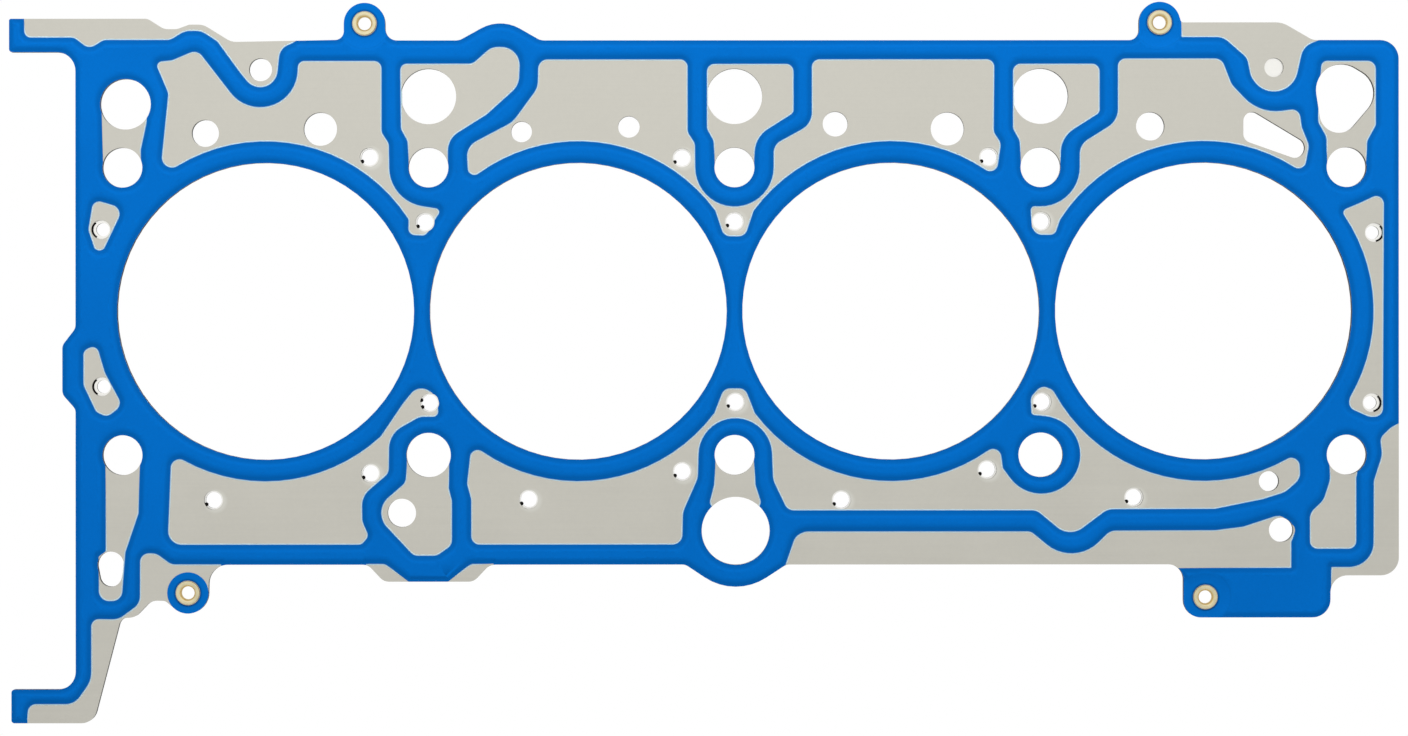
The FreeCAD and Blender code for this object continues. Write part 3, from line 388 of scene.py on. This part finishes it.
@dataclass(frozen=True)
class PrintedSeal:
    """Screen-printed elastomer: satin blue, with painted shade where the sheet steps down to the
    foot of the beads, a painted shadow round each eyelet, pale at its edge.

    Its heights are distances from the middle of the gasket, so that one finish serves both sides.
    """

    name: str
    colour: Colour
    middle: float
    base: float
    foot: float
    crest: float
    ears: tuple[tuple[float, float], ...]
    ear_inner: float = 7.0 * MM
    ear_outer: float = 7.8 * MM
    shadow_ring_inner: float = 3.6 * MM
    shadow_ring_outer: float = 4.3 * MM
    shadow_ring_gain: float = 0.45
    roughness: float = 0.42
    foot_painted_shade: float = 0.80
    thin_edge: Colour = Colour(200, 230, 240)
    thin_share: float = 0.4
    wide_size: float = 35 * MM
    speck_size: float = 0.5 * MM
    wide_weight: float = 0.55
    crest_mottle: float = 0.06
    foot_mottle: float = 0.04
    speck_roughness: float = 0.10
    wide_roughness: float = 0.05
    relief: float = 0.012 * MM
    grain: float = 0.25
    gloss: float = 0.04

    def material(self) -> bpy.types.Material:
        """Make the material of the print.

        Returns:
            The material, the same for the beaded prints and the flat patches.
        """
        shade = Shade(self.name)
        wide = shade.cloud(self.wide_size)
        speck = shade.cloud(self.speck_size, 2.0)
        share = wide * self.wide_weight + speck * (1 - self.wide_weight)
        # Painted shade: the print is darker at the foot of each bead than on its crest, for the
        # light on the rounded beads; round the eyelets it keeps the crest colour.
        crest = shade.mottled(share, self.colour, self.crest_mottle)
        foot = shade.mottled(share, self.colour, self.foot_mottle, self.foot_painted_shade)
        raised = shade.greater(shade.height_from(self.middle, self.foot, self.crest),
                               shade.near(self.ears, self.ear_inner, self.ear_outer))
        thin = self.base + (self.foot - self.base) * self.thin_share
        full = shade.height_from(self.middle, thin, self.foot)
        # Painted shadow: a darker ring just outside each eyelet's rim.
        ring = shade.near(self.ears, self.shadow_ring_inner, self.shadow_ring_outer)
        body = shade.blend(ring, shade.blend(raised, foot, crest),
                           self.colour.linear(self.shadow_ring_gain))
        rough = shade.around(self.roughness, (speck, self.speck_roughness),
                             (wide, self.wide_roughness))
        return shade.finish(base_color=shade.blend(full, self.thin_edge.linear(), body),
                            roughness=rough, normal=shade.bump(speck, self.relief, self.grain),
                            specular_ior_level=self.gloss)


@dataclass(frozen=True)
class RolledBrass:
    """Brass of the eyelets: bright, with painted shade in the throat of the roll."""

    name: str
    rim: Colour
    throat: Colour
    roughness: float = 0.27
    haze_size: float = 1.4 * MM
    mottle: float = 0.08
    haze_roughness: float = 0.12
    relief: float = 0.006 * MM
    grain: float = 0.3
    rim_normals: tuple[float, float] = (0.9, 0.99)

    def material(self) -> bpy.types.Material:
        """Make the material of the eyelets.

        Returns:
            The material, paler on the level rims than in the throats, whose darker colour is
            painted shade.
        """
        shade = Shade(self.name)
        haze = shade.cloud(self.haze_size)
        # Painted shade: faces that don't look up, the throats, take the darker colour.
        colour = shade.blend(shade.facing_up(*self.rim_normals),
                             shade.mottled(haze, self.throat, self.mottle),
                             shade.mottled(haze, self.rim, self.mottle))
        return shade.finish(base_color=colour, metallic=1.0,
                            roughness=shade.around(self.roughness, (haze, self.haze_roughness)),
                            normal=shade.bump(haze, self.relief, self.grain))


@dataclass(frozen=True)
class BackdropPaper:
    """Pale floor that the camera and the metal see as white, and that keeps a shadow."""

    name: str = "backdrop_paper"
    tooth_size: float = 4 * MM
    dark: tuple[float, float, float, float] = (0.86, 0.86, 0.86, 1.0)
    light: tuple[float, float, float, float] = (0.90, 0.90, 0.90, 1.0)
    roughness: float = 0.9

    def material(self) -> bpy.types.Material:
        """Make the material of the floor.

        Returns:
            The material.
        """
        shade = Shade(self.name)
        tooth = shade.cloud(self.tooth_size, 2.0)
        shade.finish(base_color=shade.blend(tooth, self.dark, self.light),
                     roughness=self.roughness)
        path = shade.tree.nodes.new("ShaderNodeLightPath")
        rays = [Signal(shade, path.outputs[f"Is {kind} Ray"])
                for kind in ("Camera", "Glossy", "Transmission")]
        glow = shade.node("ShaderNodeEmission", {}, {"Color": WHITE, "Strength": 1.0})
        paper = Signal(shade, shade.surface.outputs["BSDF"])
        both = shade.node("ShaderNodeMixShader", {}, {0: sum(rays), 1: paper, 2: glow})
        shade.feed(shade.output.inputs["Surface"], both)
        return shade.material


# Middles of the coolant holes between the bores and beside them, in millimetres, as drawn.
COOLANT_HOLES = (
    (-105.1, 44.35), (-15.1, 44.15), (73.2, 44.35), (-89.1, 25.65), (0.0, 25.85), (88.3, 25.85),
    (-87.8, -26.35), (0.2, -26.15), (88.5, -26.15), (-104.8, -46.65), (-15.1, -46.15),
    (72.7, -45.65), (-150.0, -54.35), (-59.3, -54.15), (30.7, -54.35), (114.9, -53.65),
)
# The one of them without a dark disc, and the one that has two.
CLEAN_HOLE, TWICE_MARKED_HOLE = COOLANT_HOLES[5], COOLANT_HOLES[6]
# The four at the ends of the row.
END_HOLES = ((-182.4, 23.55), (-182.2, -21.65), (184.2, 22.55), (183.5, -26.45))
# How far the painted highlight round a coolant hole lies off the hole's middle.
HIGHLIGHT_SHIFT = (0.5, -0.3)
HIGHLIGHT_PLACES = tuple(((x + HIGHLIGHT_SHIFT[0]) * MM, (y + HIGHLIGHT_SHIFT[1]) * MM) for x, y in COOLANT_HOLES)

SHEET_GREY = Colour(186, 184, 175)
SHEET_STEEL = RolledSteel("spring_sheet_steel", SHEET_GREY)
HIGHLIT_STEEL = RolledSteel("sheet_steel_painted_highlights", SHEET_GREY, highlight_places=HIGHLIGHT_PLACES)
# Near black, walls included: the dark discs and the painted shadow arcs beside the end holes.
MARK_AND_SHADOW_STEEL = RolledSteel("mark_and_shadow_steel", Colour(24, 23, 22), cut_edge_painted_shade=Colour(20, 19, 18))
CARRIER_STEEL = RolledSteel("carrier_sheet_steel", Colour(228, 227, 222), roughness=0.42)
STOPPER_STEEL = RolledSteel("stopper_ring_steel", Colour(186, 185, 178), roughness=0.34)
# The second colour is painted shade for the eyelets' throats.
EYELET_BRASS = RolledBrass("eyelet_brass", Colour(203, 194, 160), Colour(200, 176, 122))
SEAL_BLUE = Colour(0, 113, 207)


def dress(obj: bpy.types.Object, material: bpy.types.Material) -> None:
    """Give an object one material on every slot.

    Args:
        obj: Object that is dressed.
        material: Its new material.
    """
    if not obj.material_slots:
        obj.data.materials.append(material)
    for slot in obj.material_slots:
        slot.material = material


def as_object(mesh: bmesh.types.BMesh, name: str, smooth: bool = False) -> bpy.types.Object:
    """Turn a finished mesh into an object of the scene.

    Args:
        mesh: Finished mesh, which is freed.
        name: Name of the object.
        smooth: Whether its faces are shaded smooth.

    Returns:
        The new object, at the origin.
    """
    data = bpy.data.meshes.new(name)
    mesh.to_mesh(data)
    mesh.free()
    for face in data.polygons:
        face.use_smooth = smooth
    piece = bpy.data.objects.new(name, data)
    bpy.context.scene.collection.objects.link(piece)
    return piece


def seal_finish() -> PrintedSeal:
    """Set up the finish of the print from the modelled heights.

    Returns:
        The finish, with the flat patch's two faces as base and foot and the print's top as crest.
    """
    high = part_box("upper_seal_coating")[1]
    middle = (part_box("lower_seal_coating")[0].z + high.z) / 2
    base, foot = (corner.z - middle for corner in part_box("upper_seal_patch"))
    ears = []
    for number in EYELET_NUMBERS:
        centre = sum(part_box(f"eyelet_{number}"), Vector()) / 2
        ears.append((centre.x, centre.y))
    return PrintedSeal("blue_seal_print", SEAL_BLUE, middle, base, foot, high.z - middle,
                       tuple(ears))


@dataclass
class BeadedPrint:
    """The print over the beads of one outer sheet: shoulders rounded, edges thinning out."""

    side: Side
    material: bpy.types.Material
    shoulder: float = 0.8 * MM
    feather: float = 0.4 * MM
    rim_gap: float = 0.1 * MM
    settle_rounds: int = 9
    settle_share: float = 0.4
    crease: float = math.radians(35)
    tolerance: float = MM / 1000
    level_normal: float = 0.99
    folded_normal: float = 0.5
    wall_normal: float = 0.1

    @property
    def outward(self) -> float:
        """1 on the upper sheet and -1 on the lower."""
        return 1.0 if self.side is Side.UPPER else -1.0

    def node(self, part: str) -> str:
        """Name of a node on this side of the gasket."""
        return f"{self.side.value}_{part}"

    def level(self, part: str, outer: bool) -> float:
        """Height of a node's outer or inner face on this side of the gasket."""
        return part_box(self.node(part))[outer == (self.side is Side.UPPER)].z

    def round_shoulders(self, mesh: bmesh.types.BMesh) -> None:
        """Set a second outline inside the crest, so that smooth shading rounds its shoulders.

        Args:
            mesh: Mesh of the print, with its doubles merged.
        """
        top = self.level("seal_coating", True)
        crest = [face for face in mesh.faces if abs(face.normal.z) > self.level_normal
                 and abs(face.calc_center_median().z - top) < self.tolerance]
        ring = bmesh.ops.inset_region(mesh, faces=crest, thickness=self.shoulder,
                                      use_even_offset=True)["faces"]
        border, flat = set(ring), set(crest)
        roots = {}
        for edge in mesh.edges:
            if all(face in border for face in edge.link_faces):
                inner = next(vert for vert in edge.verts
                             if any(face in flat for face in vert.link_faces))
                roots[inner] = edge.other_vert(inner).co.copy()
        for _ in range(self.settle_rounds):
            mesh.normal_update()
            folded = {vert for face in crest + ring
                      if face.normal.z * self.outward < self.folded_normal
                      for vert in face.verts if vert in roots}
            for vert in folded:
                vert.co = vert.co.lerp(roots[vert], self.settle_share)

    def thin_edges(self, mesh: bmesh.types.BMesh) -> None:
        """Draw the foot of each wall out over the steel beside it, where there is steel.

        Args:
            mesh: Mesh of the print, with its doubles merged.
        """
        steel = bmesh.new()
        steel.from_mesh(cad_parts[self.node("bead_layer")].data)
        tree = BVHTree.FromBMesh(steel)
        steel.free()
        rims = [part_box(f"eyelet_{number}") for number in EYELET_NUMBERS]
        base = self.level("seal_patch", False)
        up = Vector((0, 0, self.outward))
        moves = {}
        for vert in mesh.verts:
            walls = [face.normal for face in vert.link_faces
                     if abs(face.normal.z) < self.wall_normal]
            if not walls or abs(vert.co.z - base) > self.tolerance:
                continue
            away = sum(walls, Vector()).normalized()
            target = vert.co + away * self.feather
            near_rim = any((target - (low + high) / 2).xy.length
                           < (high.x - low.x) / 2 + self.rim_gap for low, high in rims)
            over = target + (away + up) * self.rim_gap
            found = tree.ray_cast(over, -up, 2 * self.rim_gap)[0]
            if found and not near_rim:
                moves[vert] = target
        for vert, target in moves.items():
            vert.co = target

    def build(self) -> bpy.types.Object:
        """Round and thin the print and shade it smooth up to its cut walls.

        Returns:
            The print, which stands for its node.
        """
        node = self.node("seal_coating")
        mesh = bmesh.new()
        mesh.from_mesh(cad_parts[node].data)
        bmesh.ops.remove_doubles(mesh, verts=mesh.verts, dist=self.tolerance)
        self.thin_edges(mesh)
        self.round_shoulders(mesh)
        for edge in mesh.edges:
            edge.smooth = edge.calc_face_angle(0.0) < self.crease
        piece = as_object(mesh, self.node("beaded_print"), smooth=True)
        dress(piece, self.material)
        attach(piece, BODY)
        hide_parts(node)
        return piece


@dataclass
class Laminate:
    """The steel and the flat patches, which keep their modelled shape and take a new finish."""

    seal: bpy.types.Material

    def build(self) -> list[bpy.types.Object]:
        """Dress every node of the laminate.

        Returns:
            The objects that were dressed.
        """
        finishes = {"upper_bead": HIGHLIT_STEEL, "lower_bead": SHEET_STEEL,
                    "carrier": CARRIER_STEEL, "stopper_ring": STOPPER_STEEL}
        made = {key: finish.material() for key, finish in finishes.items()}
        made["seal_patch"] = self.seal
        dressed = []
        for name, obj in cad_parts.items():
            for key, material in made.items():
                if key in name:
                    dress(obj, material)
                    dressed.append(obj)
        return dressed


@dataclass
class DarkMarks:
    """Small dark discs on the carrier in the coolant holes, and dark arcs that are painted shadow
    beside the end holes.
    """

    material: bpy.types.Material
    radius: float = 0.56 * MM
    thickness: float = 0.09 * MM
    offset: tuple[float, float] = (-2.05, -1.2)
    second_offset: tuple[float, float] = (-2.35, 0.75)
    outer_radius: float = 2.74 * MM
    arc_width: float = 0.5 * MM
    left_arc: tuple[float, float] = (math.radians(128), math.radians(240))
    right_arc: tuple[float, float] = (math.radians(-78), math.radians(48))
    steps: int = 20

    def dark_disc(self, mesh: bmesh.types.BMesh, hole: tuple[float, float],
             offset: tuple[float, float], level: float) -> None:
        """Add one small dark disc.

        Args:
            mesh: Mesh that gets the burr.
            hole: Middle of its hole in millimetres.
            offset: Way from there to the disc in millimetres.
            level: Height of the carrier's face.
        """
        place = Vector(((hole[0] + offset[0]) * MM, (hole[1] + offset[1]) * MM, level))
        disc = bmesh.ops.create_circle(mesh, cap_ends=True, segments=self.steps,
                                       radius=self.radius)
        bmesh.ops.translate(mesh, verts=disc["verts"], vec=place)
        base = disc["verts"][0].link_faces[:]
        raised = bmesh.ops.extrude_face_region(mesh, geom=base, use_keep_orig=True)["geom"]
        top = [part for part in raised if isinstance(part, bmesh.types.BMVert)]
        bmesh.ops.translate(mesh, verts=top, vec=(0, 0, self.thickness))

    def crescent(self, mesh: bmesh.types.BMesh, x: float, y: float, level: float) -> None:
        """Add the painted shadow along the outer side of one end hole, as one dark swept bar.

        Args:
            mesh: Mesh that gets the crescent.
            x: Middle of its hole along the row.
            y: Middle of its hole across the row.
            level: Height of the carrier's face.
        """
        start, end = self.left_arc if x < 0 else self.right_arc
        corners = [(self.outer_radius - self.arc_width, 0), (self.outer_radius, 0),
                   (self.outer_radius, self.thickness),
                   (self.outer_radius - self.arc_width, self.thickness)]
        verts = [mesh.verts.new((across, 0, level + height)) for across, height in corners]
        bar = mesh.faces.new(verts)
        bmesh.ops.rotate(mesh, verts=verts, cent=(0, 0, 0),
                         matrix=Matrix.Rotation(start, 3, "Z"))
        bmesh.ops.translate(mesh, verts=verts, vec=(x * MM, y * MM, 0))
        bmesh.ops.spin(mesh, geom=[bar], cent=(x * MM, y * MM, 0), axis=(0, 0, 1),
                       angle=end - start, steps=self.steps, use_duplicate=False)

    def build(self) -> bpy.types.Object:
        """Make every mark as one piece on the carrier.

        Returns:
            The marks.
        """
        mesh = bmesh.new()
        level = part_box("carrier_layer")[1].z
        for hole in COOLANT_HOLES:
            if hole != CLEAN_HOLE:
                self.dark_disc(mesh, hole, self.offset, level)
        self.dark_disc(mesh, TWICE_MARKED_HOLE, self.second_offset, level)
        # Painted shadow: dark arcs where the gap under the outer sheet lies in shade beside the end
        # holes.
        for x, y in END_HOLES:
            self.crescent(mesh, x, y, level)
        bmesh.ops.remove_doubles(mesh, verts=mesh.verts, dist=MERGE_DISTANCE)
        bmesh.ops.recalc_face_normals(mesh, faces=mesh.faces)
        piece = as_object(mesh, "dark_marks_and_gap_shadows")
        dress(piece, self.material)
        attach(piece, BODY)
        return piece


@dataclass
class Eyelet:
    """One rolled eyelet: a tube through the stack, flared and rolled down on each face."""

    number: int
    material: bpy.types.Material
    bore: float = 3.7 * MM
    wall: float = 0.3 * MM
    flange: float = 6.8 * MM
    rim: float = 0.35 * MM
    throat: float = 0.75 * MM
    lip: float = 0.16 * MM
    arc_steps: int = 6
    spin_steps: int = 64

    def section(self, mesh: bmesh.types.BMesh, height: float) -> bmesh.types.BMFace:
        """Half section of the eyelet with sharp corners, standing on the X axis.

        Args:
            mesh: Mesh that the section is drawn in.
            height: From the lower rim's face to the upper rim's face.

        Returns:
            The section as one face.
        """
        inner, tube, outer = self.bore / 2, self.bore / 2 + self.wall, self.flange / 2
        corners = [(inner, 0), (outer, 0), (outer, self.rim), (tube, self.rim),
                   (tube, height - self.rim), (outer, height - self.rim), (outer, height),
                   (inner, height)]
        return mesh.faces.new([mesh.verts.new((radius, 0, z)) for radius, z in corners])

    def round_corners(self, mesh: bmesh.types.BMesh) -> None:
        """Flare the bore into both faces and round the rims' edges.

        Args:
            mesh: Mesh that holds the half section.
        """
        inner, outer = self.bore / 2, self.flange / 2
        for radius, size in ((inner, self.throat), (outer, self.lip)):
            corners = [vert for vert in mesh.verts if abs(vert.co.x - radius) < self.lip / 10]
            bmesh.ops.bevel(mesh, geom=corners, affect="VERTICES", offset=size,
                            segments=self.arc_steps, profile=0.5, material=-1)

    def build(self) -> bpy.types.Object:
        """Make the eyelet where its node stands.

        Returns:
            The eyelet, which stands for its node.
        """
        node = f"eyelet_{self.number}"
        low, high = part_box(node)
        centre = (low + high) / 2
        mesh = bmesh.new()
        self.section(mesh, high.z - low.z)
        self.round_corners(mesh)
        bmesh.ops.delete(mesh, geom=mesh.faces[:], context="FACES_ONLY")
        bmesh.ops.spin(mesh, geom=mesh.verts[:] + mesh.edges[:], cent=(0, 0, 0), axis=(0, 0, 1),
                       angle=math.tau, steps=self.spin_steps, use_merge=True)
        bmesh.ops.remove_doubles(mesh, verts=mesh.verts, dist=MERGE_DISTANCE)
        bmesh.ops.recalc_face_normals(mesh, faces=mesh.faces)
        bmesh.ops.translate(mesh, verts=mesh.verts, vec=(centre.x, centre.y, low.z))
        piece = as_object(mesh, f"rolled_eyelet_{self.number}", smooth=True)
        dress(piece, self.material)
        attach(piece, BODY)
        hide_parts(node)
        return piece


@dataclass(frozen=True)
class Lamp:
    """One soft lamp, which faces the gasket."""

    name: str
    place: tuple[float, float, float]
    width: float
    depth: float
    power: float
    in_reflections: bool = True

    def hang(self) -> None:
        """Put the lamp in the scene."""
        lamp = bpy.data.lights.new(self.name, "AREA")
        lamp.shape = "RECTANGLE"
        lamp.size, lamp.size_y = self.width, self.depth
        lamp.energy = self.power
        holder = bpy.data.objects.new(self.name, lamp)
        holder.location = self.place
        holder.rotation_euler = (-Vector(self.place)).to_track_quat("-Z", "Y").to_euler()
        holder.visible_glossy = self.in_reflections
        bpy.context.scene.collection.objects.link(holder)


@dataclass
class Studio:
    """Plain floor, soft light and the camera over the gasket."""

    floor_size: float = 4.0
    floor_drop: float = 0.02 * MM
    view_centre: tuple[float, float] = (-8.8 * MM, -16.37 * MM)
    view_width: float = 405.1 * MM
    roll: float = -0.0005
    camera_height: float = 0.6
    top_face: float = 1.75 * MM
    sensor: float = 36.0
    clip: tuple[float, float] = (0.01, 20.0)
    soft_strength: float = 0.355
    white_strength: float = 1.0
    lamps: tuple[Lamp, ...] = (
        Lamp("overhead_softbox", (-0.05, 0.50, 1.30), 1.8, 1.1, 2.2),
        # Low behind the gasket: it brightens the print there and would burn out in bare steel.
        Lamp("rear_strip", (0.00, 0.75, 0.45), 1.6, 0.4, 10.5, in_reflections=False),
    )

    def floor(self) -> None:
        """Lay the floor just under the gasket."""
        mesh = bmesh.new()
        bmesh.ops.create_grid(mesh, x_segments=1, y_segments=1, size=self.floor_size / 2)
        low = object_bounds()[0].z - self.floor_drop
        bmesh.ops.translate(mesh, verts=mesh.verts, vec=Vector((0, 0, low)))
        floor = as_object(mesh, "studio_floor")
        dress(floor, BackdropPaper().material())
        floor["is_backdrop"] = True

    def world(self) -> None:
        """Even light from all round, white where the camera or the metal sees it."""
        world = bpy.data.worlds.new("studio_light")
        world.use_nodes = True
        tree = world.node_tree
        tree.nodes.clear()
        out = tree.nodes.new("ShaderNodeOutputWorld")
        path = tree.nodes.new("ShaderNodeLightPath")
        seen = tree.nodes.new("ShaderNodeMath")
        seen.operation = "MAXIMUM"
        tree.links.new(path.outputs["Is Camera Ray"], seen.inputs[0])
        tree.links.new(path.outputs["Is Glossy Ray"], seen.inputs[1])
        mix = tree.nodes.new("ShaderNodeMixShader")
        tree.links.new(seen.outputs[0], mix.inputs[0])
        for socket, strength in zip(mix.inputs[1:], (self.soft_strength, self.white_strength)):
            light = tree.nodes.new("ShaderNodeBackground")
            light.inputs["Color"].default_value = WHITE
            light.inputs["Strength"].default_value = strength
            tree.links.new(light.outputs[0], socket)
        tree.links.new(mix.outputs[0], out.inputs["Surface"])
        bpy.context.scene.world = world

    def camera(self) -> None:
        """Look straight down on the gasket, framed as the photograph is."""
        lens = bpy.data.cameras.new("photo_camera")
        lens.sensor_width = self.sensor
        lens.lens = self.camera_height * self.sensor / self.view_width
        lens.clip_start, lens.clip_end = self.clip
        holder = bpy.data.objects.new("photo_camera", lens)
        holder.location = (*self.view_centre, self.top_face + self.camera_height)
        holder.rotation_euler = (0, 0, self.roll)
        bpy.context.scene.collection.objects.link(holder)
        bpy.context.scene.camera = holder

    def build(self) -> None:
        """Set the whole stage."""
        self.floor()
        self.world()
        for lamp in self.lamps:
            lamp.hang()
        self.camera()
        bpy.context.scene.view_settings.view_transform = "Standard"


def main() -> None:
    """Dress the steel, make the prints, marks and eyelets, and set the studio."""
    logging.basicConfig(level=logging.INFO, format="%(name)s: %(message)s")
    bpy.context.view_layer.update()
    seal = seal_finish().material()
    for obj in Laminate(seal).build():
        log.info("dressed %s", obj.name)
    for side in Side:
        log.info("made %s", BeadedPrint(side, seal).build().name)
    log.info("made %s", DarkMarks(MARK_AND_SHADOW_STEEL.material()).build().name)
    brass = EYELET_BRASS.material()
    for number in EYELET_NUMBERS:
        log.info("made %s", Eyelet(number, brass).build().name)
    Studio().build()


if __name__ == "__main__":
    main()
